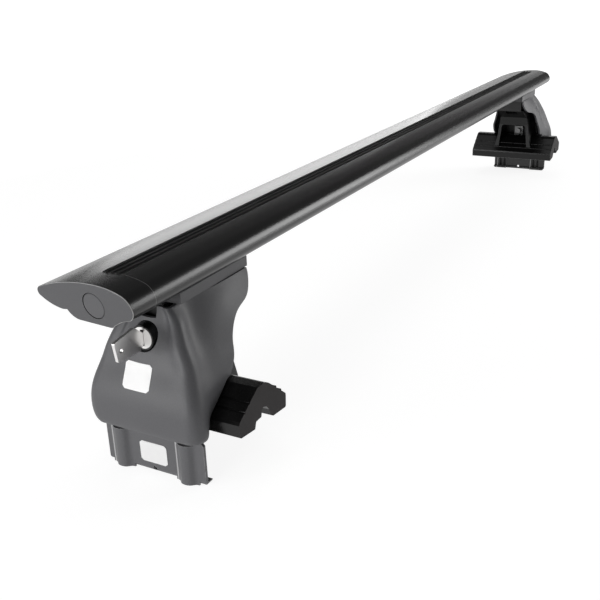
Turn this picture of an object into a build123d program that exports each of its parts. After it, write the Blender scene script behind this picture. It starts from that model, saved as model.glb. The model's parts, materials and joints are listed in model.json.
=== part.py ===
from build123d import *
import os

# Roof rack crossbar: a hollow aluminium wing section on two clamp feet with lockable covers.
# X runs along the bar, +Y towards the pointed edge, +Z up. X = 0 is the middle of the bar and
# Y = 0 the middle of the roof pads. Sizes are millimetres. Everything is drawn with Z = 0 at the
# level of the pointed edge, and raised at the end so that the hook plates stand on the ground.
# A foot is drawn with X = 0 on its bolt through the bar, for the +X end; the other is its mirror.

# Bar section: u is measured from the middle of the chord, w from the level of the pointed edge
chord = 82.0
bar_length = 1053.0
wall = 2.0
crown_rise = 13.2
crown_shift = 14.0
crown_shoulder = (-33.0, 10.0)
belly_drop = 15.2
belly_from, belly_to = -18.5, 7.5
belly_nose_bend, belly_tail_bend = (-20.8, -14.7), (13.2, -13.4)
tip_top, tip_point, tip_low = (39.2, 2.6), (41.0, -0.4), (39.6, -3.6)
tail_hollow = (31.0, -8.1)
nose_point, nose_bend = (-41.0, 0.2), (-40.0, -3.9)
nose_low = (-37.0, -6.6)
keel_corner = (-29.8, -8.9)
belly_corner = (-22.6, -13.3)
notch = (17.0, -9.6)
tail_start = (20.6, -10.2)

# Slots, set off the middle of the chord towards the rounded edge
slot_shift, belly_slot_shift = 8.5, 11.9
top_recess_width, top_recess_depth = 15.4, 1.7
top_neck_width, top_channel_width = 11.0, 19.0
top_lip, top_channel_depth = 2.3, 5.0
belly_neck_width, belly_channel_width = 9.0, 17.0
belly_lip, belly_channel_depth = 2.6, 5.2
channel_wall = 1.5
boss_bore_radius = 2.1
boss_width = 8.4

# Ribbed rubber strip in the top slot
strip_side_gap = 0.2
strip_rise = 1.5
strip_rib_width, strip_rib_rise, strip_rib_pitch = 1.8, 0.7, 4.6
strip_rib_count = 3
strip_barb_width, strip_barb_depth = 14.0, 2.2

# End caps: the end face leans, top outwards, and is skewed towards the rounded edge
cap_reach = 19.3
cap_lean, cap_skew = 0.15, 0.08
cap_edge = 0.8
tongue_length, tongue_gap = 14.0, 0.3
plug_radius, plug_depth, plug_gap = 8.7, 3.0, 0.35
plug_edge = 0.5
cap_screw_radius, cap_screw_head_radius, cap_screw_head = 1.95, 3.8, 2.6
cap_screw_length = 28.0
screw_seat_gap = 0.2

# Foot: its place on the bar and the cradle under the belly
foot_setback = 77.5
saddle_back, saddle_length, saddle_width = -42.0, 83.0, 39.0
saddle_base, saddle_cheek = 3.0, 4.7
bar_gap = 0.3

# Roof pad section, from the outer foot over the crown and back along the underside
pad_length = 125.6
pad_foot, pad_heel, pad_shoulder = (46.4, -106.0), (47.7, -95.8), (46.2, -93.7)
pad_crown, pad_brow = (22.5, -79.5), (12.2, -79.6)
pad_inner_top, pad_inner_foot = (7.2, -82.5), (-15.4, -101.6)
pad_toe = [(-15.8, -103.4), (-15.2, -112.8), (3.0, -110.9)]
pad_hollow = [
    (6.4, -108.7), (8.6, -102.9), (11.4, -99.2), (16.0, -97.2), (18.0, -98.9), (19.2, -103.5),
    (26.2, -103.6), (28.0, -108.6),
]
pad_round, pad_crown_round = 1.2, 4.0
groove_radius, grooves = 0.8, 2
ridge_radius, ridges = 1.0, 2
pad_hole_radius, pad_hole_depth = 2.2, 6.0

# Bracket: a neck under the saddle and a flared skirt that straddles the pad, in steel sheet.
# Skirt: one row per level: height, inner face and half width
bracket_wall = 3.0
neck_back, neck_back_half, neck_front_half = -37.0, 17.2, 12.0
neck_foot, neck_top_plate = -34.0, 3.5
web_face = 38.0
skirt_levels = [
    (-34.0, -32.0, 19.5),
    (-39.0, -25.0, 19.8),
    (-48.0, -10.0, 20.6),
    (-60.0, -7.0, 22.6),
    (-78.0, -7.5, 24.6),
    (-97.0, -8.0, 29.3),
]
window_top, window_top_half, window_foot_half = -60.5, 18.8, 22.5
window_round = 4.0
catch_gap, catch_thickness, catch_half, catch_foot = 5.0, 2.5, 9.0, -27.5

# Fasteners
thread_radius = 4.0
bolt_hole_gap = 0.5
thread_gap = 0.05
hex_flats = 13.0
washer_radius, washer_thickness = 8.0, 1.6
tee_head_length, tee_head_width, tee_head_thick = 16.0, 15.8, 3.8
tee_bolt_length = 26.2
tee_nut_height = 8.0
clamp_z = -75.0
clamp_bolt_length, clamp_head = 26.0, 5.3
clamp_nut_thick = 6.5

# Hook plate: a pressed sheet with two ribs, joggled clear of the pad. Its height is the foot's
sheet = 2.5
hook_foot = -144.0
hook_face, hook_upper_face = 58.0, 46.0
hook_half, hook_shift, hook_upper_half = 41.85, 2.05, 26.0
hook_rise = 80.0
joggle_top, joggle_foot = 58.5, 50.5
hook_shoulder, hook_chamfer, hook_chamfer_rise = 31.9, 4.2, 4.9
hook_bend = 3.0
lip_length, lip_short = 8.0, 3.0
lip_gap_from, lip_gap_to = -16.5, 23.0
rib_half, rib_crest_half, rib_rise = 9.5, 4.0, 2.8
rib_spacing, rib_shift = 55.5, 3.15
rib_top = 31.0
rib_slot_height, rib_slot_half = 1.8, 5.5
hook_corner_round = 3.0
locating_hole_radius, locating_hole_rise, locating_hole_shift = 1.8, 3.4, 3.5

# Cover: one row per level: height, face, half width at the face, half width at the back,
# corner radius, depth of the flutes in the face, and of the valley behind each front corner
cover_levels = [
    (-14.0, 49.5, 14.5, 20.2, 3.5, 0.8, 1.0),
    (-20.0, 50.5, 17.3, 21.0, 3.5, 1.2, 2.0),
    (-28.0, 53.0, 23.5, 22.2, 4.0, 1.5, 3.0),
    (-36.0, 57.0, 28.0, 24.6, 5.0, 1.5, 3.0),
    (-45.0, 60.5, 32.5, 26.7, 6.0, 1.2, 2.5),
    (-56.0, 63.0, 37.3, 27.2, 7.0, 0.7, 1.8),
    (-70.0, 68.6, 42.5, 28.3, 8.5, 0.2, 1.0),
    (-82.0, 72.0, 45.5, 23.0, 9.5, 0.0, 0.5),
    (-93.0, 72.4, 46.5, 18.0, 10.0, 0.0, 1.8),
    (-101.0, 71.2, 46.0, 16.0, 10.0, 0.0, 2.6),
    (-105.5, 69.4, 44.0, 15.0, 9.5, 0.0, 2.6),
]
cover_back = -53.0
cover_wall = 2.5
cover_top, cover_foot = -18.6, -105.0
flute_at = 0.65
face_crown = 0.4
valley_run, valley_end = 11.0, 30.0
pull_notch_half, pull_notch_foot = 6.0, -26.0
cover_pad_gap = 1.5
cover_edge = [
    (-38.7, -16.0), (-38.4, -25.0), (-30.0, -34.5), (-10.0, -39.5), (1.5, -47.5), (8.5, -63.0),
    (17.0, -77.5),
]

# Lock and key
lock_z = -37.8
lock_front, lock_nose, lock_collar, lock_depth = 60.3, 6.3, 5.0, 18.8
lock_nose_radius, lock_base_radius, lock_body_radius = 8.8, 9.6, 8.8
lock_hole_gap = 0.3
core_radius, core_gap = 7.6, 0.05
keyway_height, keyway_width, keyway_depth = 11.6, 2.5, 17.0
cam_thickness, cam_reach, cam_half = 2.0, 14.5, 4.0
blade_height, blade_thickness, blade_length = 8.4, 2.2, 16.0
bow_corners = [(0.6, -4.2), (3.9, -7.5), (26.2, -6.5), (28.4, 7.7), (7.7, 10.4), (0.6, 4.2)]
bow_round = 1.2
bow_hole_radius, bow_hole_at = 1.6, (22.4, 0.3)

# Derived places
bar_y = belly_slot_shift
stand = -hook_foot
foot_at = bar_length / 2 - foot_setback
top_recess_floor = crown_rise - top_recess_depth
top_channel_high = top_recess_floor - top_lip
top_channel_low = top_channel_high - top_channel_depth
belly_channel_low = belly_lip - belly_drop
belly_channel_high = belly_channel_low + belly_channel_depth
saddle_foot = -belly_drop - saddle_base
saddle_top = saddle_foot + saddle_base + saddle_cheek
neck_ceiling = saddle_foot - neck_top_plate
boss_y, boss_level = bar_y - slot_shift, (belly_channel_high + channel_wall + top_channel_low - wall) / 2


def across(x):
    """The plane of the bar's section at x: local u runs along +Y, w along +Z."""
    return Plane(origin=(x, bar_y, 0), x_dir=(0, 1, 0), z_dir=(1, 0, 0))


def side_view(y):
    """A plane seen from -Y, whose local axes are the model's X and Z."""
    return Plane(origin=(0, y, 0), x_dir=(1, 0, 0), z_dir=(0, -1, 0))


def end_view(x, z=0.0):
    """A plane seen from +X, whose local axes are Y and Z."""
    return Plane(origin=(x, 0, z), x_dir=(0, 1, 0), z_dir=(1, 0, 0))


def prism_y(face, half):
    """Extrude a face drawn in side_view both ways from the middle of the foot."""
    return extrude(side_view(0) * face, amount=half, both=True)


def rod_x(radius, x0, x1, y, z):
    """A cylinder along X from x0 to x1."""
    return extrude(end_view(x0) * Pos(y, z) * Circle(radius), amount=x1 - x0)


def block(x0, x1, half, z0, z1):
    """A box centred on the middle of the foot."""
    return Pos((x0 + x1) / 2, 0, (z0 + z1) / 2) * Box(x1 - x0, 2 * half, z1 - z0)


def rectangle(u0, u1, w0, w1):
    return Pos((u0 + u1) / 2, (w0 + w1) / 2) * Rectangle(abs(u1 - u0), w1 - w0)


def band(middle, width, w0, w1):
    """A rectangle centred on a slot."""
    return rectangle(middle - width / 2, middle + width / 2, w0, w1)


def section():
    """The wing section's outline: a crowned top, a round nose and a flat belly."""
    crown = (-crown_shift, crown_rise)
    shoulder_side = TangentArc(crown, crown_shoulder, tangent=(-1, 0))
    lines = [
        ThreePointArc(tip_low, tip_point, tip_top),
        TangentArc(crown, tip_top, tangent=(1, 0)),
        shoulder_side,
        TangentArc(crown_shoulder, nose_point, tangent=shoulder_side % 1),
        ThreePointArc(nose_point, nose_bend, nose_low),
        Line(nose_low, keel_corner),
        Line(keel_corner, belly_corner),
        ThreePointArc(belly_corner, belly_nose_bend, (belly_from, -belly_drop)),
        Line((belly_from, -belly_drop), (belly_to, -belly_drop)),
        ThreePointArc((belly_to, -belly_drop), belly_tail_bend, notch),
        Line(notch, tail_start),
        ThreePointArc(tail_start, tail_hollow, tip_low),
    ]
    return make_face(Curve() + lines)


def slot_sides():
    """How far the slots reach towards the rounded and the pointed edge."""
    nose_side = min(-slot_shift - top_channel_width / 2, -belly_slot_shift - belly_channel_width / 2)
    tail_side = max(-slot_shift + top_channel_width / 2, -belly_slot_shift + belly_channel_width / 2)
    return nose_side, tail_side


def side_chambers(gap):
    """The hollows of the section beside the slots, made smaller by gap for the cap's tongues."""
    inner = offset(section(), amount=-wall, kind=Kind.ARC)
    nose_side, tail_side = slot_sides()
    tail = inner & rectangle(tail_side + wall, chord, -chord, chord)
    nose = inner & rectangle(-chord, nose_side - wall, -chord, chord)
    if gap:
        return [offset(tail, amount=-gap, kind=Kind.ARC), offset(nose, amount=-gap, kind=Kind.ARC)]
    return [tail, nose]


def crossbar_profile():
    """The extrusion: chambers, a T-slot at the top and one in the belly, and a screw boss between."""
    face = section()
    for chamber in side_chambers(0.0):
        face -= chamber
    top, belly = -slot_shift, -belly_slot_shift
    face -= band(top, top_recess_width, top_recess_floor, 2 * crown_rise)
    face -= band(top, top_neck_width, top_channel_high, crown_rise)
    face -= band(top, top_channel_width, top_channel_low, top_channel_high)
    face -= band(belly, belly_neck_width, -2 * belly_drop, belly_channel_low)
    face -= band(belly, belly_channel_width, belly_channel_low, belly_channel_high)
    core_low, core_high = belly_channel_high + channel_wall, top_channel_low - wall
    for far, side in zip(slot_sides(), (-1, 1)):
        near = top + side * boss_width / 2
        face -= rectangle(near, far, core_low, core_high)
    face -= Pos(top, boss_level) * Circle(boss_bore_radius)
    return extrude(across(-bar_length / 2) * face, amount=bar_length)


def slot_strip():
    """The rubber strip: a ribbed top, a stem through the neck and barbs in the channel."""
    at = -slot_shift
    top = top_recess_floor + strip_rise
    stem_foot, barb_top = top_channel_high - strip_barb_depth, top_channel_high - strip_side_gap
    face = band(at, top_recess_width - 2 * strip_side_gap, top_recess_floor, top)
    face += band(at, top_neck_width - 2 * strip_side_gap, stem_foot, top_recess_floor)
    face += band(at, strip_barb_width, barb_top - strip_barb_depth / 2, barb_top)
    for i in range(strip_rib_count):
        middle = at + (i - (strip_rib_count - 1) / 2) * strip_rib_pitch
        face += band(middle, strip_rib_width, top, top + strip_rib_rise)
    return extrude(across(-bar_length / 2) * face, amount=bar_length)


def beyond_end_face():
    """A block that removes everything beyond the leaning end face."""
    normal = Vector(1, cap_skew, -cap_lean)
    plane = Plane(origin=(bar_length / 2 + cap_reach, bar_y, 0), x_dir=(0, 1, 0), z_dir=normal)
    return plane * Pos(0, 0, chord) * Box(4 * chord, 4 * chord, 2 * chord)


def end_cap():
    """The moulded cap: the section carried on to the leaning face, with tongues in the chambers."""
    start = bar_length / 2
    body = extrude(across(start) * section(), amount=2 * cap_reach) - beyond_end_face()
    rim = body.faces().sort_by(Axis.X)[-1]
    body = fillet(rim.edges(), cap_edge)
    for chamber in side_chambers(tongue_gap):
        body += extrude(across(start - tongue_length) * chamber, amount=tongue_length)
    seat = start + cap_reach - plug_depth
    body -= rod_x(plug_radius + plug_gap, seat, start + 2 * cap_reach, boss_y, boss_level)
    body -= rod_x(cap_screw_head_radius + screw_seat_gap, seat - cap_screw_head, seat, boss_y, boss_level)
    body -= rod_x(cap_screw_radius + screw_seat_gap, start - tongue_length, seat, boss_y, boss_level)
    return body


def cap_plug():
    """The round plug that hides the cap's screw, cut flush with the leaning face."""
    seat = bar_length / 2 + cap_reach - plug_depth
    plug = rod_x(plug_radius, seat, seat + chord / 2, boss_y, boss_level) - beyond_end_face()
    return chamfer(plug.faces().sort_by(Axis.X)[-1].edges(), plug_edge)


def cap_screw():
    """The screw that holds the cap in the boss."""
    under_head = bar_length / 2 + cap_reach - plug_depth - cap_screw_head
    head = rod_x(cap_screw_head_radius, under_head, under_head + cap_screw_head, boss_y, boss_level)
    return head + rod_x(cap_screw_radius, under_head - cap_screw_length, under_head, boss_y, boss_level)


def saddle():
    """The rail that cradles the belly, with the bolt's hole through it."""
    front = saddle_back + saddle_length
    raw = block(saddle_back, front, saddle_width / 2, saddle_foot, saddle_top)
    bar = offset(section(), amount=bar_gap, kind=Kind.ARC)
    raw -= extrude(across(saddle_back - 1) * bar, amount=saddle_length + 2)
    return raw - Pos(0, 0, saddle_foot) * Cylinder(thread_radius + bolt_hole_gap, 4 * saddle_base)


def pad_section():
    """The rubber pad's section, with rounded corners, grooves outside and ridges inside."""
    points = [pad_foot, pad_heel, pad_shoulder, pad_crown, pad_brow, pad_inner_top, pad_inner_foot]
    face = make_face(Polyline(*points, *pad_toe, *pad_hollow, close=True))
    face = fillet([nearest(face, pad_crown), nearest(face, pad_brow)], pad_crown_round)
    rounded = [pad_foot, pad_toe[0], pad_toe[1]]
    face = fillet([nearest(face, place) for place in rounded], pad_round)
    crown, shoulder = Vector(*pad_crown), Vector(*pad_shoulder)
    for i in range(grooves):
        at = crown + (shoulder - crown) * ((i + 1.6) / (grooves + 1.6))
        face -= Pos(at.X, at.Y) * Circle(groove_radius)
    inner_top, inner_foot = Vector(*pad_inner_top), Vector(*pad_inner_foot)
    for i in range(ridges):
        at = inner_top + (inner_foot - inner_top) * ((i + 1.4) / (ridges + 1.4))
        face += Pos(at.X, at.Y) * Circle(ridge_radius)
    return face


def nearest(face, place):
    """The corner of a face that lies nearest to a place."""
    return face.vertices().sort_by(lambda v: (v.X - place[0]) ** 2 + (v.Y - place[1]) ** 2)[0]


def roof_pad():
    """The rubber pad: the section over its length, with a hole in the inner slope."""
    body = prism_y(pad_section(), pad_length / 2)
    (x0, z0), (x1, z1) = pad_inner_top, pad_inner_foot
    outwards = Vector(z1 - z0, 0, x0 - x1)
    plane = Plane(origin=((x0 + x1) / 2, 0, (z0 + z1) / 2), z_dir=outwards)
    return body - plane * Cylinder(pad_hole_radius, 2 * pad_hole_depth)


def neck(inset, low, high):
    """The bracket's neck, narrower towards the web, made smaller by inset."""
    back, front = neck_back + inset, web_face - inset
    back_half, front_half = neck_back_half - inset, neck_front_half - inset
    corners = [(back, -back_half), (front, -front_half), (front, front_half), (back, back_half)]
    plan = make_face(Polyline(*corners, close=True))
    return extrude(Pos(0, 0, low) * plan, amount=high - low)


def skirt(inset, drop):
    """The flared skirt: flat at the web, spreading at the back and sides, made smaller by inset."""
    levels = []
    for i, (z, back, half) in enumerate(skirt_levels):
        level = z - drop if i == 0 else z - 1 if i == len(skirt_levels) - 1 and inset else z
        x0, x1 = back + inset, web_face - inset
        levels.append(Pos((x0 + x1) / 2, 0, level) * Rectangle(x1 - x0, 2 * (half - inset)))
    return loft(levels, ruled=True)


def foot_bracket(pad):
    """The steel bracket: neck, skirt, window, bolt holes and the catch for the lock's cam."""
    reach = bracket_wall
    body = neck(0.0, neck_foot, saddle_foot) + skirt(0.0, 0.0)
    body -= neck(reach, neck_foot + reach, neck_ceiling)
    passage_back, passage_half = skirt_levels[0][1] + reach, neck_front_half - reach
    passage = (neck_foot - 2 * reach, neck_foot + 2 * reach)
    body -= block(passage_back, web_face - reach, passage_half, *passage)
    body -= skirt(reach, reach)
    catch = web_face + catch_gap
    body += block(web_face - 1, catch + catch_thickness, catch_half, neck_ceiling, saddle_foot)
    body += block(catch, catch + catch_thickness, catch_half, catch_foot, saddle_foot)
    window_foot = skirt_levels[-1][0] - 1
    window = make_face(
        Polyline(
            (-window_top_half, window_top),
            (window_top_half, window_top),
            (window_foot_half, window_foot),
            (-window_foot_half, window_foot),
            close=True,
        )
    )
    window = fillet(window.vertices().sort_by(Axis.Y)[-2:], window_round)
    body -= extrude(end_view(neck_back) * window, amount=web_face - 4 * reach - neck_back)
    hole = thread_radius + bolt_hole_gap
    body -= Pos(0, 0, saddle_foot) * Cylinder(hole, 3 * neck_top_plate)
    body -= rod_x(hole, web_face - 2 * reach, web_face + 1, 0, clamp_z)
    return body - pad


def hexagon(flats):
    return RegularPolygon(flats / 2, 6, major_radius=False)


def tee_bolt():
    """The T-headed bolt: its head in the belly slot, its shank down through the bracket."""
    head = Box(tee_head_length, tee_head_width, tee_head_thick)
    head = Pos(0, 0, belly_channel_low + tee_head_thick / 2) * head
    shank = Pos(0, 0, belly_channel_low - tee_bolt_length / 2) * Cylinder(thread_radius, tee_bolt_length)
    return head + shank


def tee_washer():
    ring = Circle(washer_radius) - Circle(thread_radius + bolt_hole_gap)
    return extrude(Pos(0, 0, neck_ceiling - washer_thickness) * ring, amount=washer_thickness)


def tee_nut():
    ring = hexagon(hex_flats) - Circle(thread_radius + thread_gap)
    foot = neck_ceiling - washer_thickness - tee_nut_height
    return extrude(Pos(0, 0, foot) * ring, amount=tee_nut_height)


def clamp_nut():
    """The square nut held against the inside of the bracket's web."""
    face = Rectangle(hex_flats, hex_flats) - Circle(thread_radius + thread_gap)
    back = web_face - bracket_wall - clamp_nut_thick
    return extrude(end_view(back, clamp_z) * face, amount=clamp_nut_thick)


def clamp_washer():
    ring = Circle(washer_radius) - Circle(thread_radius + bolt_hole_gap)
    return extrude(end_view(hook_upper_face, clamp_z) * ring, amount=washer_thickness)


def clamp_bolt():
    """The bolt that draws the hook plate in: hexagon head outside, end past the nut."""
    under_head = hook_upper_face + washer_thickness
    head = extrude(end_view(under_head, clamp_z) * hexagon(hex_flats), amount=clamp_head)
    return head + rod_x(thread_radius, under_head - clamp_bolt_length, under_head, 0, clamp_z)


def hook_front():
    """The hook plate seen from outside: shoulders, a narrow upper part and rounded foot corners."""
    left, right = hook_shift - hook_half, hook_shift + hook_half
    chamfer_top = hook_shoulder + hook_chamfer_rise
    points = [
        (left, 0.0),
        (right, 0.0),
        (right, hook_shoulder),
        (right - hook_chamfer, chamfer_top),
        (hook_upper_half, joggle_foot),
        (hook_upper_half, hook_rise),
        (-hook_upper_half, hook_rise),
        (-hook_upper_half, joggle_foot),
        (left + hook_chamfer, chamfer_top),
        (left, hook_shoulder),
    ]
    face = make_face(Polyline(*points, close=True))
    face = fillet(face.vertices().sort_by(Axis.Y)[:2], hook_corner_round)
    return fillet(face.vertices().sort_by(Axis.Y)[-2:], hook_corner_round)


def rib_section(inset):
    """A rib's section in plan: a smooth swell of the sheet's outer face, made smaller by inset."""
    root = hook_face - sheet / 2
    crest = hook_face + rib_rise - inset
    half, crest_half = rib_half - inset, rib_crest_half - inset / 2
    swell = Spline(
        (hook_face - inset, -half),
        (crest, -crest_half),
        (crest, crest_half),
        (hook_face - inset, half),
        tangents=[(0, 1), (0, 1)],
    )
    root -= inset
    sides = [
        Line((hook_face - inset, half), (root, half)),
        Line((root, half), (root, -half)),
        Line((root, -half), (hook_face - inset, -half)),
    ]
    return make_face(Curve() + [swell, *sides])


def hook_plate():
    """The pressed hook plate: joggle, inturned lip, two hollow ribs open at the top, and holes."""
    middle, upper = hook_face - sheet / 2, hook_upper_face - sheet / 2
    path = FilletPolyline(
        (upper, hook_rise),
        (upper, joggle_top),
        (middle, joggle_foot),
        (middle, sheet / 2),
        (hook_face - lip_length, sheet / 2),
        radius=hook_bend,
    )
    body = prism_y(trace(path, sheet), hook_half + hook_shift)
    for side in (-1, 1):
        y = rib_shift + side * rib_spacing / 2
        body += extrude(Pos(0, y, 0) * rib_section(0.0), amount=rib_top)
    for side in (-1, 1):
        y = rib_shift + side * rib_spacing / 2
        body -= extrude(Pos(0, y, sheet) * rib_section(sheet), amount=rib_top)
        slot = Box(2 * sheet, 2 * rib_slot_half, rib_slot_height)
        body -= Pos(middle, y, rib_top + rib_slot_height / 2) * slot
    body &= extrude(end_view(hook_upper_face - 3 * sheet) * hook_front(), amount=hook_face + 2 * rib_rise)
    gap_middle, gap_width = (lip_gap_from + lip_gap_to) / 2, lip_gap_to - lip_gap_from
    body -= Pos(hook_face - lip_length, gap_middle, 0) * Box(2 * lip_short, gap_width, 3 * sheet)
    body = Pos(0, 0, hook_foot) * body
    body -= rod_x(thread_radius + bolt_hole_gap, upper - 2 * sheet, upper + 2 * sheet, 0, clamp_z)
    hole_at = (locating_hole_shift, hook_foot + locating_hole_rise)
    return body - rod_x(locating_hole_radius, middle - 2 * sheet, middle + sheet, *hole_at)


def cover_wire(row, inset, level):
    """One level of the cover: valleyed sides, rounded corners and a fluted face."""
    _, face_x, half, back_half, radius, flute, valley = row
    face_x, half, back_half, radius = face_x - inset, half - inset, back_half - inset, radius - inset * 0.6
    back = cover_back - inset
    front, flat = face_x - radius, half - radius
    corner = radius * (1 - 0.5 ** 0.5)
    groove = half * flute_at
    taper = (half - back_half) / (front - back)
    valley_at = (front - valley_run, half - taper * valley_run - valley)
    end_at = (front - valley_end, half - taper * valley_end)
    side_points = [(front, half), valley_at, end_at, (back, back_half)]
    other_side = [(x, -y) for x, y in reversed(side_points)]
    lines = [
        ThreePointArc((front, -half), (face_x - corner, -half + corner), (face_x, -flat)),
        Spline(
            (face_x, -flat),
            (face_x - flute, -groove),
            (face_x + face_crown, 0),
            (face_x - flute, groove),
            (face_x, flat),
            tangents=[(0, 1), (0, 1)],
        ),
        ThreePointArc((face_x, flat), (face_x - corner, half - corner), (front, half)),
        Spline(*side_points, tangents=[(-1, 0), (-1, -taper)]),
        Line((back, back_half), (back, -back_half)),
        Spline(*other_side, tangents=[(1, -taper), (1, 0)]),
    ]
    return Pos(0, 0, level) * make_face(Curve() + lines)


def cover_loft(inset):
    """The cover's outer form, or its hollow when inset by the wall, which runs past both ends."""
    levels = []
    for i, row in enumerate(cover_levels):
        over = inset if i == 0 else -inset if i == len(cover_levels) - 1 else 0.0
        levels.append(cover_wire(row, inset, row[0] + over))
    return loft(levels)


def cover_outline():
    """The part of the cover kept in side view: an S-shaped inner edge that ends along the pad."""
    drop_x = pad_heel[0] + cover_pad_gap
    outside = cover_levels[-1][1] + chord
    top_left = (cover_edge[0][0], cover_top + chord / 4)
    under = [
        (pad_crown[0], pad_crown[1] + cover_pad_gap),
        (pad_heel[0], pad_shoulder[1] + cover_pad_gap / 2),
        (drop_x, pad_heel[1] + cover_pad_gap),
        (drop_x, cover_foot),
        (outside, cover_foot),
        (outside, top_left[1]),
        top_left,
    ]
    edge = Spline(*cover_edge)
    face = make_face(Curve() + [edge, Polyline(cover_edge[-1], *under, cover_edge[0])])
    return face - rectangle(-chord * 2, chord * 3, cover_top, cover_top + chord)


def foot_cover():
    """The moulded cover: a lofted hood with flutes, open at the back, top and foot."""
    body = cover_loft(0.0) - cover_loft(cover_wall)
    body &= prism_y(cover_outline(), chord)
    face_x = cover_levels[0][1]
    body -= block(face_x - 4 * cover_wall, face_x + chord, pull_notch_half, pull_notch_foot, 0.0)
    hole = lock_base_radius + lock_hole_gap
    return body - rod_x(hole, lock_front - lock_depth, lock_front + lock_nose, 0, lock_z)


def lock_barrel():
    """The lock's black body: a tapered nose outside, a collar in the cover and a cylinder inside."""
    shoulder = lock_front - lock_nose
    nose = end_view(shoulder, lock_z) * Circle(lock_base_radius)
    tip = end_view(lock_front, lock_z) * Circle(lock_nose_radius)
    body = loft([nose, tip])
    body += rod_x(lock_base_radius, shoulder - lock_collar, shoulder, 0, lock_z)
    body += rod_x(lock_body_radius, lock_front - lock_depth, shoulder, 0, lock_z)
    return body - rod_x(core_radius + core_gap, lock_front - lock_depth - 1, lock_front + 1, 0, lock_z)


def lock_core():
    """The turning core, with its keyway."""
    core = rod_x(core_radius, lock_front - lock_depth, lock_front, 0, lock_z)
    keyway = Box(keyway_depth, keyway_width, keyway_height)
    return core - Pos(lock_front - keyway_depth / 2, 0, lock_z) * keyway


def lock_cam():
    """The cam on the core's end. It lies sideways, and a quarter turn puts it behind the catch."""
    face = Pos((cam_reach - cam_half) / 2, 0) * SlotCenterToCenter(cam_reach - cam_half, 2 * cam_half)
    return extrude(end_view(lock_front - lock_depth - cam_thickness, lock_z) * face, amount=cam_thickness)


def key():
    """The flat key: a blade in the keyway and a tapered bow with a hole."""
    bow = make_face(Polyline(*bow_corners, close=True))
    bow = fillet(bow.vertices(), bow_round)
    bow -= Pos(*bow_hole_at) * Circle(bow_hole_radius)
    plane = Plane(origin=(lock_front, 0, lock_z), x_dir=(1, 0, 0), z_dir=(0, -1, 0))
    body = extrude(plane * bow, amount=blade_thickness / 2, both=True)
    start = lock_front + bow_corners[0][0] + bow_round
    blade = Box(blade_length, blade_thickness, blade_height)
    return body + Pos(start - blade_length / 2, 0, lock_z) * blade


def save(name, shape):
    """Write a piece that is drawn from the level of the pointed edge, raised to stand on the ground."""
    shape = Pos(0, 0, stand) * shape
    shape.label = name
    export_step(shape, "parts/" + name + ".step")


def main():
    os.makedirs("parts", exist_ok=True)
    save("crossbar_profile", crossbar_profile())
    save("slot_strip", slot_strip())
    end_pieces = {"end_cap": end_cap(), "cap_plug": cap_plug(), "cap_screw": cap_screw()}
    pad = roof_pad()
    foot_pieces = {
        "saddle": saddle(),
        "roof_pad": pad,
        "foot_bracket": foot_bracket(pad),
        "tee_bolt": tee_bolt(),
        "tee_washer": tee_washer(),
        "tee_nut": tee_nut(),
        "clamp_nut": clamp_nut(),
        "clamp_washer": clamp_washer(),
        "clamp_bolt": clamp_bolt(),
        "hook_plate": hook_plate(),
        "foot_cover": foot_cover(),
        "lock_barrel": lock_barrel(),
        "lock_core": lock_core(),
        "lock_cam": lock_cam(),
        "key": key(),
    }
    for name, shape in foot_pieces.items():
        end_pieces[name] = Pos(foot_at, 0, 0) * shape
    for name, shape in end_pieces.items():
        save(name + "_right", shape)
        save(name + "_left", mirror(shape, about=Plane.YZ))


main()
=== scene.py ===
import json
from math import sqrt
import bmesh
import bpy
from mathutils import Matrix, Vector


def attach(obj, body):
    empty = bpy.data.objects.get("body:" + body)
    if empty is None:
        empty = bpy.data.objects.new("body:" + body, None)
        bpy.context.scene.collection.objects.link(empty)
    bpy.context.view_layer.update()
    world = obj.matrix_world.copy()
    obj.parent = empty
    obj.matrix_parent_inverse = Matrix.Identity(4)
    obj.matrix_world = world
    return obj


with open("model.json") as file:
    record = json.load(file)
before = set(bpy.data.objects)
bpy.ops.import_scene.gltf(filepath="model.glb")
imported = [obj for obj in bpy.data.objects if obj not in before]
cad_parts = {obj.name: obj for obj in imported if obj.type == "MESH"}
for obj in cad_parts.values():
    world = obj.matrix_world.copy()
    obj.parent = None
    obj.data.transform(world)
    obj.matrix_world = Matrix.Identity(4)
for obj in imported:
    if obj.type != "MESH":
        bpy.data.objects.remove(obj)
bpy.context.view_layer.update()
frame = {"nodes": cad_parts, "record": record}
nodes = frame["nodes"]
# The two ends of the bar, each with its direction along X
SIDES = {"right": 1.0, "left": -1.0}

# Camera: fitted to the photograph, in the model's frame
CAMERA_PLACE = Vector((-0.8930, -0.3290, 0.3276))
CAMERA_RIGHT = Vector((0.46839, -0.88292, -0.03262))
CAMERA_UP = Vector((0.34347, 0.14795, 0.92744))
CAMERA_LENS = 49.52
CAMERA_SENSOR = 36.0
CAMERA_NEAR = 0.01
CAMERA_FAR = 50.0

# Labels: blank white plates, in metres, each made of columns and rows of small faces
LABEL_THICKNESS = 0.00018
LABEL_LIFT = 0.00005
LABEL_CORNER = 0.0020
LABEL_COLUMNS = 12
LABEL_ROWS = 10
# Width, height, middle along Y and middle level
COVER_LABEL = (0.0220, 0.0175, 0.0029, 0.0800)
HOOK_LABEL = (0.0230, 0.0162, 0.0033, 0.0160)
# The rays that find a carrier's outer face start this far along X, past both ends of the bar
RAY_START = 0.7

# Painted highlights along lines, each with half its width: on the joint where the bar's section ends and
# its cap begins, and on the fold lines beside the hook plate's ribs, up to where the ribs run out
BAR_END = max(corner[0] for corner in nodes["crossbar_profile"].bound_box)
SEAM_HIGHLIGHT_HALF = 0.0005
RIB_FOLD_HIGHLIGHTS = (0.0389, -0.0166)
RIB_TOP = 0.0312
FOLD_HIGHLIGHT_HALF = 0.0009
# Levels under and over everything
BELOW_ALL = -1.0
ABOVE_ALL = 1.0

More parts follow.
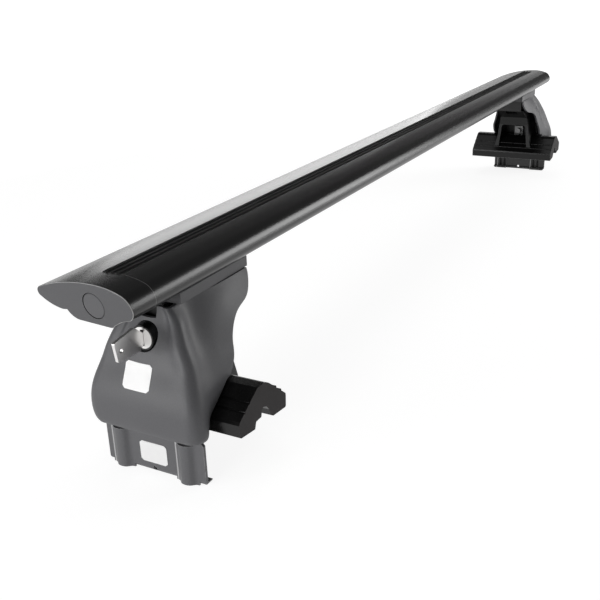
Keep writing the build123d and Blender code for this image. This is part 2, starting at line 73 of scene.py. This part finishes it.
# Rubbed edges: how well the rounded normal still matches the face where they start and are full
EDGE_START = 0.99
EDGE_FULL = 0.8
EDGE_SAMPLES = 6
# The patches that tear them, and the noise levels where no wear and all of it is left
TEAR_SCALE = 160.0
TEAR_DETAIL = 4.0
TEAR_ROUGHNESS = 0.7
TEAR_NONE = 0.62
TEAR_ALL = 0.35

# Grain: rounded cells with this share of noise, and the heights that shade from dark to light
CELL_SMOOTHNESS = 0.6
GRAIN_DETAIL = 2.0
GRAIN_ROUGHNESS = 0.6
GRAIN_NOISE = 0.5
GRAIN_DARK = 0.3
GRAIN_LIGHT = 1.0
# The tone of the grain's pits, and the strength of its relief
PIT_TONE = 0.86
GRAIN_RELIEF = 0.5

# Handling marks: their noise, and the levels between which a mark goes from none to full
MARK_DETAIL = 5.0
MARK_ROUGHNESS = 0.6
MARK_NONE = 0.3
MARK_FULL = 0.7
# On coats: their scale, their share, and the tone that they lighten the coat to
COAT_MARK_SCALE = 16.0
COAT_MARK_SHARE = 0.25
COAT_MARK_TONE = 1.2

# Drawn lines: the share of their fineness along X, Y and Z, and their noise
LINE_STRETCH = (0.004, 1.0, 1.0)
LINE_DETAIL = 3.0
LINE_ROUGHNESS = 0.7
# On a drawn coat: their fineness, and the share of the coat's own grain that is left
COAT_LINE_FINENESS = 1400.0
COAT_GRAIN_LEFT = 0.4

# Faces: how far a normal points along an axis where the mask of faces square to it starts and is full
SQUARE_START = 0.86
SQUARE_FULL = 0.93
# The rim round such a face, where a highlight is painted: its outer edge, from none to full, and its inner
# edge, from none to full
HIGHLIGHT_RIM_OUTER = (0.2, 0.4)
HIGHLIGHT_RIM_INNER = (0.88, 0.78)
# Faces that look inward, from none to full
INWARD = (-0.3, -0.6)

# Metal: its marks, its streaks, its rubbed edges, the tone of its tarnish and its relief in metres
METAL_MARK_SCALE = 90.0
METAL_LINE_FINENESS = 2600.0
METAL_WEAR_RADIUS = 0.0004
METAL_WEAR = 0.7
TARNISH_TONE = 0.72
METAL_RELIEF = 0.00002
# The noise levels between which the streaks change the roughness, the least share that they
# change it by, and what the full strength of the streaks adds to that share
STREAK_LOW = 0.2
STREAK_HIGH = 0.8
STREAK_LEAST = 0.1
STREAK_MORE = 0.5

# Label paper
PAPER_ROUGHNESS = 0.35
PAPER_MARK_SCALE = 120.0
PAPER_GRAIN_SCALE = 2500.0
PAPER_RELIEF_STRENGTH = 0.2
PAPER_RELIEF = 0.00002

# Room: its strength as light on the model, and as shiny pieces mirror it
ROOM_LIGHT = 0.22
ROOM_SHINE = 0.12

# Floor: half its width, its gap under the model, its paint, and the strength of its plain white
FLOOR_REACH = 12.0
FLOOR_GAP = 0.0003
FLOOR_GREY = 0.9
FLOOR_ROUGHNESS = 0.8
FLOOR_SPECULAR = 0.1
FLOOR_WHITE = 1.3
# That white takes this share up to the near distance, and all of the floor from the far one on
FLOOR_SHARE = 0.67
FLOOR_NEAR = 0.8
FLOOR_FAR = 2.0

# Lamps: place, target, width and height, and power
LAMPS = {
    "overhead": ((-0.2, 0.3, 1.9), (-0.1, 0.0, 0.1), (1.4, 0.9), 3.5),
    "behind": ((2.3, 1.75, 0.46), (-0.1, 0.0, 0.15), (1.7, 0.55), 7.5),
    "far_behind": ((3.1, 0.75, 0.46), (0.2, 0.0, 0.15), (1.0, 0.5), 1.5),
    "left_front": ((-1.8, 0.9, 0.15), (-0.45, 0.0, 0.06), (0.8, 0.8), 13.5),
    "front": ((-1.9, 0.05, 0.3), (-0.45, 0.0, 0.04), (0.5, 0.5), 8.0),
    "right_side": ((1.75, -1.5, 0.6), (0.45, 0.0, 0.08), (1.3, 0.9), 22.0),
}


def make_camera():
    """The photograph's camera."""
    data = bpy.data.cameras.new("photo_camera")
    data.sensor_width = CAMERA_SENSOR
    data.lens = CAMERA_LENS
    data.clip_start = CAMERA_NEAR
    data.clip_end = CAMERA_FAR
    camera = bpy.data.objects.new("photo_camera", data)
    backward = CAMERA_RIGHT.cross(CAMERA_UP)
    turn = Matrix((CAMERA_RIGHT, CAMERA_UP, backward)).transposed().to_4x4()
    camera.matrix_world = Matrix.Translation(CAMERA_PLACE) @ turn
    bpy.context.scene.collection.objects.link(camera)
    bpy.context.scene.camera = camera


class Graph:
    """Adds shader nodes to a tree and joins them."""

    def __init__(self, tree):
        self.tree = tree

    def add(self, kind, **settings):
        node = self.tree.nodes.new("ShaderNode" + kind)
        for name, value in settings.items():
            setattr(node, name, value)
        return node

    def put(self, socket, value):
        """Joins an input to the output that is given, or sets it to the value that is given."""
        if isinstance(value, bpy.types.NodeSocket):
            self.tree.links.new(value, socket)
        else:
            socket.default_value = value

    def feed(self, node, **inputs):
        """Puts values into inputs by name, where an underscore stands for a space."""
        for name, value in inputs.items():
            self.put(node.inputs[name.replace("_", " ")], value)
        return node

    def maths(self, operation, first, second=0.0):
        node = self.add("Math", operation=operation)
        self.put(node.inputs[0], first)
        self.put(node.inputs[1], second)
        return node.outputs[0]

    def ramp(self, value, low, high, to_low=0.0, to_high=1.0):
        """Goes evenly from one output to the other while the value goes from low to high."""
        node = self.add("MapRange", clamp=True)
        self.feed(node, Value=value, From_Min=low, From_Max=high, To_Min=to_low, To_Max=to_high)
        return node.outputs["Result"]

    def noise(self, vector, scale, detail, roughness):
        node = self.add("TexNoise")
        self.feed(node, Vector=vector, Scale=scale, Detail=detail, Roughness=roughness)
        return node.outputs["Fac"]

    def place(self):
        """A point's place in the frame of its own object."""
        return self.add("TexCoord").outputs["Object"]

    def axes(self, vector):
        """The three parts of a vector, by the names X, Y and Z."""
        node = self.add("SeparateXYZ")
        self.put(node.inputs[0], vector)
        return node.outputs

    def blend(self, amount, first, second):
        """A colour between the first, at amount zero, and the second, at amount one."""
        node = self.add("Mix", data_type="RGBA")
        # The node has sockets for numbers and vectors too, and these are the ones for colours
        factor, first_colour, second_colour = node.inputs[0], node.inputs[6], node.inputs[7]
        self.put(factor, amount)
        self.put(first_colour, first)
        self.put(second_colour, second)
        return node.outputs[2]


def grey(level, warm=0.0):
    """A grey with more red when the second number is above zero, more blue when it is below."""
    return (level * (1 + max(warm, 0.0)), level, level * (1 + max(-warm, 0.0)), 1.0)


def toned(colour, tone):
    """A colour made darker by a tone below one, lighter by a tone above one."""
    red, green, blue, _ = colour
    return (red * tone, green * tone, blue * tone, 1.0)


def make_group(name, inputs, outputs):
    """A shader node group with named outputs and number inputs. An input keeps the value that is
    given here until a material sets it."""
    tree = bpy.data.node_groups.new(name, "ShaderNodeTree")
    for title, value in inputs.items():
        socket = tree.interface.new_socket(title, in_out="INPUT", socket_type="NodeSocketFloat")
        socket.default_value = value
    for title in outputs:
        tree.interface.new_socket(title, in_out="OUTPUT", socket_type="NodeSocketFloat")
    start = tree.nodes.new("NodeGroupInput")
    end = tree.nodes.new("NodeGroupOutput")
    return Graph(tree), start.outputs, end.inputs


def edge_wear_group():
    """Mask of the edges where a coat rubs through, torn by noise. Reach is its strongest value."""
    graph, given, out = make_group("edge_wear", {"Radius": 0.0006, "Reach": 0.5}, ["Mask"])
    bevel = graph.add("Bevel", samples=EDGE_SAMPLES)
    graph.feed(bevel, Radius=given["Radius"])
    match = graph.add("VectorMath", operation="DOT_PRODUCT")
    graph.put(match.inputs[0], bevel.outputs["Normal"])
    graph.put(match.inputs[1], graph.add("NewGeometry").outputs["Normal"])
    edge = graph.ramp(match.outputs["Value"], EDGE_START, EDGE_FULL)
    patches = graph.noise(graph.place(), TEAR_SCALE, TEAR_DETAIL, TEAR_ROUGHNESS)
    torn = graph.ramp(patches, TEAR_NONE, TEAR_ALL)
    mask = graph.maths("MULTIPLY", graph.maths("MULTIPLY", edge, torn), given["Reach"])
    graph.put(out["Mask"], mask)
    return graph.tree


def grain_group():
    """Moulded or sprayed grain: rounded cells with a little noise. Scale is cells to the metre."""
    graph, given, out = make_group("grain", {"Scale": 1200.0}, ["Height", "Shade"])
    place = graph.place()
    cells = graph.add("TexVoronoi", feature="SMOOTH_F1")
    graph.feed(cells, Vector=place, Scale=given["Scale"], Smoothness=CELL_SMOOTHNESS)
    noise = graph.noise(place, given["Scale"], GRAIN_DETAIL, GRAIN_ROUGHNESS)
    height = graph.maths("ADD", cells.outputs["Distance"], graph.maths("MULTIPLY", noise, GRAIN_NOISE))
    graph.put(out["Height"], height)
    graph.put(out["Shade"], graph.ramp(height, GRAIN_DARK, GRAIN_LIGHT))
    return graph.tree


def handling_group():
    """Mask of soft patches of handling and dust."""
    graph, given, out = make_group("handling", {"Scale": 18.0}, ["Mask"])
    patches = graph.noise(graph.place(), given["Scale"], MARK_DETAIL, MARK_ROUGHNESS)
    graph.put(out["Mask"], graph.ramp(patches, MARK_NONE, MARK_FULL))
    return graph.tree


def facing_group():
    """Masks of the faces square to X, of those square to Y, of those that look inward along X to
    the middle of the bar, and of the rounded rim round a face square to X, where a highlight is painted."""
    graph, _, out = make_group("facing", {}, ["Along X", "Along Y", "Inward", "Rim Highlight"])
    normal = graph.axes(graph.add("TexCoord").outputs["Normal"])
    steep = {axis: graph.maths("ABSOLUTE", normal[axis]) for axis in ("X", "Y")}
    for axis, amount in steep.items():
        graph.put(out["Along " + axis], graph.ramp(amount, SQUARE_START, SQUARE_FULL))
    # The rounded rim round a face square to X, where a highlight is painted
    rim = graph.maths("MULTIPLY", graph.ramp(steep["X"], *HIGHLIGHT_RIM_OUTER), graph.ramp(steep["X"], *HIGHLIGHT_RIM_INNER))
    graph.put(out["Rim Highlight"], rim)
    side = graph.maths("SIGN", graph.axes(graph.place())["X"])
    outward = graph.maths("MULTIPLY", normal["X"], side)
    graph.put(out["Inward"], graph.ramp(outward, *INWARD))
    return graph.tree


def line_group():
    """Masks of a thin line at one distance either side of the bar's middle, and of one at a place
    along Y. Half is half its width, and Low and High are the levels that it lies between."""
    inputs = {"At": 0.5, "Half": 0.0002, "Low": BELOW_ALL, "High": ABOVE_ALL}
    graph, given, out = make_group("line_at", inputs, ["X", "Y"])
    place = graph.axes(graph.place())
    above = graph.maths("GREATER_THAN", place["Z"], given["Low"])
    below = graph.maths("LESS_THAN", place["Z"], given["High"])
    span = graph.maths("MULTIPLY", above, below)
    for axis, value in (("X", graph.maths("ABSOLUTE", place["X"])), ("Y", place["Y"])):
        away = graph.maths("ABSOLUTE", graph.maths("SUBTRACT", value, given["At"]))
        near = graph.maths("SUBTRACT", 1.0, graph.maths("DIVIDE", away, given["Half"]))
        line = graph.maths("MULTIPLY", graph.maths("MAXIMUM", near, 0.0), span)
        graph.put(out[axis], line)
    return graph.tree


def drawn_group():
    """Fine lines drawn along X, as an extrusion's die leaves them."""
    graph, given, out = make_group("drawn_lines", {"Fineness": 900.0}, ["Height"])
    stretched = graph.add("Mapping")
    graph.feed(stretched, Vector=graph.place(), Scale=LINE_STRETCH)
    lines = graph.noise(stretched.outputs["Vector"], given["Fineness"], LINE_DETAIL, LINE_ROUGHNESS)
    graph.put(out["Height"], lines)
    return graph.tree


GROUPS = {
    "wear": edge_wear_group(),
    "grain": grain_group(),
    "handling": handling_group(),
    "drawn": drawn_group(),
    "facing": facing_group(),
    "line": line_group(),
}


def place_group(graph, name, **values):
    """Places a shared effect in a material and returns its outputs."""
    node = graph.add("Group")
    node.node_tree = GROUPS[name]
    graph.feed(node, **values)
    return node.outputs


def start_material(name, roughness, metallic=0.0, specular=0.5):
    """A new material with its shader and a graph to build on."""
    material = bpy.data.materials.new(name)
    material.use_nodes = True
    graph = Graph(material.node_tree)
    shader = material.node_tree.nodes["Principled BSDF"]
    graph.feed(shader, Roughness=roughness, Metallic=metallic, Specular_IOR_Level=specular)
    return material, graph, shader


def bump(graph, shader, height, strength, distance):
    """Fine relief on the shader's normal."""
    node = graph.add("Bump")
    graph.feed(node, Height=height, Strength=strength, Distance=distance)
    graph.feed(shader, Normal=node.outputs["Normal"])


def coated(name, colour, worn, roughness, grain_scale, grain_depth, wear=0.4, wear_radius=0.0005,
           drawn=0.0, spread=0.12, specular=0.5, face=None, rim=None, lines=()):
    """Paint, powder coat or moulded plastic: grain, handling marks and rubbed edges.

    Worn is the colour of the rubbed edges, drawn the strength of drawn lines, and spread how much
    the marks change the roughness. A face names a mask of the facing group, with the colour and the
    roughness there, a rim is the colour of a highlight painted on the round edge about it, and lines
    are painted highlights along thin lines."""
    material, graph, shader = start_material(name, roughness, specular=specular)
    grain = place_group(graph, "grain", Scale=grain_scale)
    marks = place_group(graph, "handling", Scale=COAT_MARK_SCALE)["Mask"]
    rubbed = place_group(graph, "wear", Radius=wear_radius, Reach=wear)["Mask"]
    shade = graph.blend(grain["Shade"], toned(colour, PIT_TONE), colour)
    marked = graph.maths("MULTIPLY", marks, COAT_MARK_SHARE)
    shade = graph.blend(marked, shade, toned(colour, COAT_MARK_TONE))
    rough = graph.ramp(marks, 0.0, 1.0, roughness - spread / 2, roughness + spread / 2)
    if face:
        mask = place_group(graph, "facing")[face["mask"]]
        face_shade = graph.blend(grain["Shade"], toned(face["colour"], PIT_TONE), face["colour"])
        shade = graph.blend(mask, shade, face_shade)
        change = graph.maths("MULTIPLY", mask, face["roughness"] - roughness)
        rough = graph.maths("ADD", rough, change)
    # A highlight painted on the rim round the face
    if rim:
        shade = graph.blend(place_group(graph, "facing")["Rim Highlight"], shade, rim)
    shade = graph.blend(rubbed, shade, worn)
    # Highlights painted along thin lines
    for line in lines:
        masks = place_group(graph, "line", At=line["at"], Half=line["half"],
                            Low=line["low"], High=line["high"])
        shade = graph.blend(masks[line["axis"]], shade, line["colour"])
    graph.feed(shader, Base_Color=shade, Roughness=rough)
    height = grain["Height"]
    if drawn:
        die_lines = place_group(graph, "drawn", Fineness=COAT_LINE_FINENESS)["Height"]
        grain_left = graph.maths("MULTIPLY", height, COAT_GRAIN_LEFT)
        height = graph.maths("ADD", grain_left, graph.maths("MULTIPLY", die_lines, drawn))
    bump(graph, shader, height, GRAIN_RELIEF, grain_depth)
    return material


def plated(name, colour, worn, roughness, streak=0.5, tarnish=0.6):
    """Bare or plated metal: fine streaks, tarnish and brighter edges."""
    material, graph, shader = start_material(name, roughness, metallic=1.0)
    marks = place_group(graph, "handling", Scale=METAL_MARK_SCALE)["Mask"]
    streaks = place_group(graph, "drawn", Fineness=METAL_LINE_FINENESS)["Height"]
    rubbed = place_group(graph, "wear", Radius=METAL_WEAR_RADIUS, Reach=METAL_WEAR)["Mask"]
    shade = graph.blend(graph.maths("MULTIPLY", marks, tarnish), colour, toned(colour, TARNISH_TONE))
    spread = STREAK_LEAST + streak * STREAK_MORE
    rough = graph.ramp(streaks, STREAK_LOW, STREAK_HIGH, roughness * (1 - spread), roughness * (1 + spread))
    graph.feed(shader, Base_Color=graph.blend(rubbed, shade, worn), Roughness=rough)
    bump(graph, shader, streaks, streak, METAL_RELIEF)
    return material


def bar_finishes():
    """The bar, its strip, and the caps and plugs at its ends."""
    # A light grey line painted as a highlight on the step between the bar and its cap
    seam_highlight = dict(axis="X", at=BAR_END, half=SEAM_HIGHLIGHT_HALF, low=BELOW_ALL, high=ABOVE_ALL, colour=grey(0.12))
    satin = dict(colour=grey(0.009), roughness=0.26, grain_depth=0.0000004, spread=0.0, specular=0.42)
    cap_grey = grey(0.075, -0.06)
    cap_face = dict(mask="Along X", colour=cap_grey, roughness=0.5)
    return {
        "black_coat": coated("bar_satin_black", worn=grey(0.03), grain_scale=2600.0, wear=0.35,
                             drawn=0.3, lines=[seam_highlight], **satin),
        "strip_rubber": coated("strip_rubber", colour=grey(0.006), worn=grey(0.02), roughness=0.62,
                               grain_scale=1500.0, grain_depth=0.00005, wear=0.2, specular=0.25),
        # The cap's rim is painted light grey as a highlight
        "cap_plastic": coated("cap_plastic", worn=grey(0.3), grain_scale=1800.0, wear=0.5,
                              face=cap_face, rim=grey(0.42), lines=[seam_highlight], **satin),
        "plug_plastic": coated("plug_plastic", colour=cap_grey, worn=grey(0.2), roughness=0.5,
                               grain_scale=1800.0, grain_depth=0.00004, wear=0.3),
    }


def foot_finishes():
    """The feet: the steel of bolts, nuts, washers and cams, the saddle, the bracket, the pad, the
    hook plate and the cover. The screws behind the cap plugs have the bolts' steel too."""
    # Light grey lines along the fold lines beside the hook plate's ribs, painted as highlights
    fold_highlights = [dict(axis="Y", at=fold, half=FOLD_HIGHLIGHT_HALF, low=BELOW_ALL, high=RIB_TOP, colour=grey(0.5))
             for fold in RIB_FOLD_HIGHLIGHTS]
    pad_face = dict(mask="Along Y", colour=grey(0.026, 0.12), roughness=0.75)
    # The hook plate's faces that look inward are painted near black as shade
    hook_inner_shade = dict(mask="Inward", colour=grey(0.006), roughness=0.5)
    return {
        "zinc_steel": plated("zinc_steel", colour=grey(0.13), worn=grey(0.4), roughness=0.4),
        "saddle_coat": coated("saddle_grey", colour=grey(0.075, -0.06), worn=grey(0.2), roughness=0.5,
                              grain_scale=1300.0, grain_depth=0.00005),
        "bracket_coat": coated("bracket_black", colour=grey(0.006), worn=grey(0.02), roughness=0.4,
                               grain_scale=1300.0, grain_depth=0.00005, specular=0.3),
        "pad_rubber": coated("pad_rubber", colour=grey(0.005), worn=grey(0.02), roughness=0.2,
                             grain_scale=1500.0, grain_depth=0.00002, wear=0.3, specular=0.3,
                             face=pad_face),
        # The hook plate's rubbed edges, at full strength and light grey, are wear and also a painted
        # highlight on its sharp edges
        "hook_coat": coated("hook_grey", colour=grey(0.098, -0.06), worn=grey(0.5), roughness=0.45,
                            grain_scale=1200.0, grain_depth=0.00005, wear=1.0, wear_radius=0.0007,
                            face=hook_inner_shade, lines=fold_highlights),
        "cover_plastic": coated("cover_grey", colour=grey(0.094, -0.06), worn=grey(0.17), roughness=0.5,
                                grain_scale=1400.0, grain_depth=0.00006, wear=0.3, specular=0.4),
    }


def lock_finishes():
    """The lock's body, and its core with the key."""
    nickel = (0.80, 0.79, 0.78, 1.0)
    bright_nickel = (0.9, 0.89, 0.88, 1.0)
    return {
        "lock_black": coated("lock_black", colour=grey(0.006), worn=grey(0.03), roughness=0.22,
                             grain_scale=2200.0, grain_depth=0.00002, wear=0.3),
        "nickel": plated("nickel_plate", colour=nickel, worn=bright_nickel, roughness=0.34,
                         streak=0.02, tarnish=0.25),
    }


def label_material():
    """Plain white label paper."""
    material, graph, shader = start_material("blank_label", PAPER_ROUGHNESS)
    marks = place_group(graph, "handling", Scale=PAPER_MARK_SCALE)["Mask"]
    fibres = place_group(graph, "grain", Scale=PAPER_GRAIN_SCALE)["Height"]
    clean = grey(0.88)
    marked = grey(0.85, 0.005)
    graph.feed(shader, Base_Color=graph.blend(marks, clean, marked))
    bump(graph, shader, fibres, PAPER_RELIEF_STRENGTH, PAPER_RELIEF)
    return material


def dress_nodes(materials):
    """Gives each piece of the model the material of its slot."""
    slots = {row["node"]: row["material_slot"] for row in frame["record"]["subparts"]}
    for name, obj in nodes.items():
        obj.data.materials.clear()
        obj.data.materials.append(materials[slots[name]])


def label_grid(carrier, side, sizes, lift):
    """Rows of points in a rectangle with round corners, lifted off the carrier's outer face."""
    width, height, middle, level = sizes
    grid = []
    for row in range(LABEL_ROWS + 1):
        up = (row / LABEL_ROWS - 0.5) * height
        into_corner = max(0.0, abs(up) - (height / 2 - LABEL_CORNER))
        half = width / 2 - (LABEL_CORNER - sqrt(max(0.0, LABEL_CORNER ** 2 - into_corner ** 2)))
        points = []
        for column in range(LABEL_COLUMNS + 1):
            along = middle + (column / LABEL_COLUMNS * 2 - 1) * half
            start = Vector((side * RAY_START, along, level + up))
            _, place, normal, _ = carrier.ray_cast(start, Vector((-side, 0, 0)))
            points.append(place + normal * lift)
        grid.append(points)
    return grid


def make_label(name, carrier, body, side, sizes, material):
    """A thin blank plate that follows the outer face of its carrier."""
    mesh = bmesh.new()
    layers = []
    for lift in (LABEL_LIFT, LABEL_LIFT + LABEL_THICKNESS):
        grid = label_grid(carrier, side, sizes, lift)
        layers.append([[mesh.verts.new(point) for point in points] for points in grid])
    for layer in layers:
        for lower, upper in zip(layer, layer[1:]):
            for column in range(LABEL_COLUMNS):
                mesh.faces.new((lower[column], lower[column + 1], upper[column + 1], upper[column]))
    rim = [(0, column) for column in range(LABEL_COLUMNS)]
    rim += [(row, LABEL_COLUMNS) for row in range(LABEL_ROWS)]
    rim += [(LABEL_ROWS, column) for column in range(LABEL_COLUMNS, 0, -1)]
    rim += [(row, 0) for row in range(LABEL_ROWS, 0, -1)]
    back, front = layers
    for (row, column), (next_row, next_column) in zip(rim, rim[1:] + rim[:1]):
        mesh.faces.new((back[row][column], back[next_row][next_column],
                        front[next_row][next_column], front[row][column]))
    bmesh.ops.recalc_face_normals(mesh, faces=mesh.faces)
    data = bpy.data.meshes.new(name)
    mesh.to_mesh(data)
    mesh.free()
    data.materials.append(material)
    obj = bpy.data.objects.new(name, data)
    bpy.context.scene.collection.objects.link(obj)
    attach(obj, body)


def make_room():
    """A dim room that the camera sees as white."""
    world = bpy.data.worlds.new("studio")
    bpy.context.scene.world = world
    world.use_nodes = True
    graph = Graph(world.node_tree)
    rays = graph.add("LightPath").outputs
    dim = graph.ramp(rays["Is Glossy Ray"], 0.0, 1.0, ROOM_LIGHT, ROOM_SHINE)
    seen = graph.maths("MAXIMUM", rays["Is Camera Ray"], rays["Is Transmission Ray"])
    strength = graph.ramp(seen, 0.0, 1.0, dim, 1.0)
    graph.feed(world.node_tree.nodes["Background"], Color=grey(1.0), Strength=strength)


def floor_material():
    """Matt white paint that takes the model's shadow, mixed with a plain white that only the
    camera sees, straight or in shiny pieces, and that grows further from the model."""
    material, graph, shader = start_material("studio_white", FLOOR_ROUGHNESS, specular=FLOOR_SPECULAR)
    graph.feed(shader, Base_Color=grey(FLOOR_GREY))
    white = graph.feed(graph.add("Emission"), Color=grey(1.0), Strength=FLOOR_WHITE)
    rays = graph.add("LightPath").outputs
    seen = graph.maths("MAXIMUM", rays["Is Camera Ray"], rays["Is Glossy Ray"])
    seen = graph.maths("MAXIMUM", seen, rays["Is Transmission Ray"])
    away = graph.add("VectorMath", operation="LENGTH")
    graph.put(away.inputs[0], graph.place())
    share = graph.ramp(away.outputs["Value"], FLOOR_NEAR, FLOOR_FAR, FLOOR_SHARE, 1.0)
    mix = graph.add("MixShader")
    graph.put(mix.inputs[0], graph.maths("MULTIPLY", seen, share))
    graph.put(mix.inputs[1], shader.outputs[0])
    graph.put(mix.inputs[2], white.outputs[0])
    graph.feed(material.node_tree.nodes["Material Output"], Surface=mix.outputs[0])
    return material


def make_floor():
    """A wide square floor just under the model."""
    corners = [(x * FLOOR_REACH, y * FLOOR_REACH, 0) for x, y in ((-1, -1), (1, -1), (1, 1), (-1, 1))]
    mesh = bpy.data.meshes.new("studio_floor")
    mesh.from_pydata(corners, [], [(0, 1, 2, 3)])
    mesh.materials.append(floor_material())
    floor = bpy.data.objects.new("studio_floor", mesh)
    floor.location.z = -FLOOR_GAP
    bpy.context.scene.collection.objects.link(floor)


def make_lamp(name, place, target, size, power):
    """A soft rectangular lamp that points at its target."""
    data = bpy.data.lights.new(name, "AREA")
    data.shape = "RECTANGLE"
    data.size, data.size_y = size
    data.energy = power
    lamp = bpy.data.objects.new(name, data)
    lamp.location = place
    lamp.rotation_euler = (Vector(target) - Vector(place)).to_track_quat("-Z", "Y").to_euler()
    bpy.context.scene.collection.objects.link(lamp)


bpy.context.scene.view_settings.view_transform = "Standard"
make_camera()
make_room()
make_floor()
for lamp_name, (place, target, size, power) in LAMPS.items():
    make_lamp(lamp_name, place, target, size, power)

dress_nodes({**bar_finishes(), **foot_finishes(), **lock_finishes()})
white_label = label_material()
for side_name, side in SIDES.items():
    make_label("cover_label_" + side_name, nodes["foot_cover_" + side_name], "hood_" + side_name, side,
               COVER_LABEL, white_label)
    make_label("hook_label_" + side_name, nodes["hook_plate_" + side_name], "clamp_" + side_name, side,
               HOOK_LABEL, white_label)
